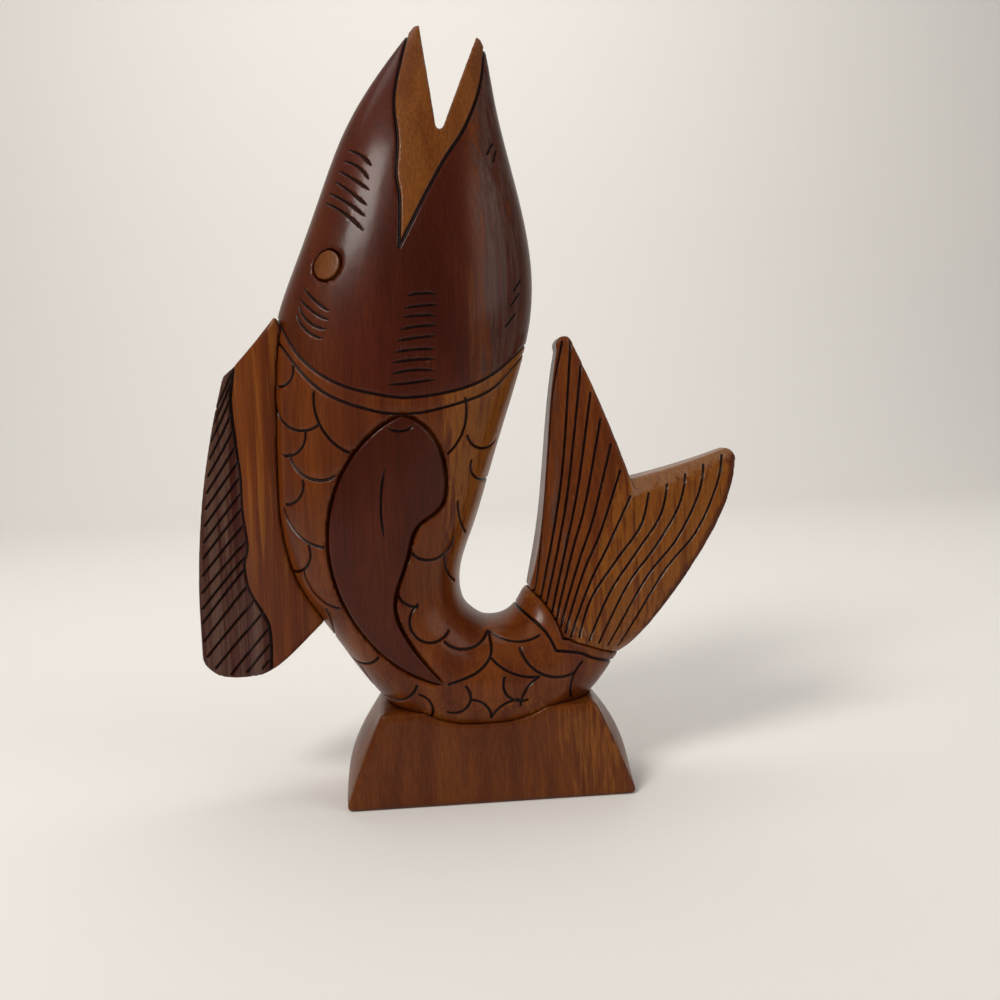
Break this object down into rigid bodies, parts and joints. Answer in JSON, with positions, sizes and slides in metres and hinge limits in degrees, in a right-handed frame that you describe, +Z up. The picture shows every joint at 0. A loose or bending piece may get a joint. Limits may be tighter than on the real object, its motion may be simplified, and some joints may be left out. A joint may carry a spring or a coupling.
{
  "type": "fish figurine",
  "caption": "Carved wooden fish standing on its belly on a small flared base, head raised with the mouth open, tail curled up, for display on a shelf.",
  "frame": {"origin": "middle of the base's underside, on the surface that the figurine stands on", "axes": "+Z up, +X towards the belly and the curled-up tail, +Y towards the fish's left flank"},
  "size_m": [0.2391, 0.0732, 0.331],
  "materials": {
    "base_wood": "dark brown stain under gloss varnish",
    "body_wood": "red-brown stain under gloss varnish, paler on the belly",
    "back_fin_wood": "golden brown with a dark stained edge, gloss varnish",
    "tail_wood": "golden brown, gloss varnish",
    "side_fin_wood": "dark red-brown stain under gloss varnish",
    "eye_wood": "brown, gloss varnish",
    "dowel_wood": "bare, glued in"
  },
  "bodies": {
    "root": {"base": "base_wood", "fish_body": "body_wood", "back_fin": "back_fin_wood", "tail_fin": "tail_wood", "pectoral_fin_right": "side_fin_wood", "pectoral_fin_left": "side_fin_wood", "eye_right": "eye_wood", "eye_left": "eye_wood", "base_dowels": "dowel_wood", "back_fin_dowels": "dowel_wood", "tail_dowels": "dowel_wood"}
  },
  "joints": []
}
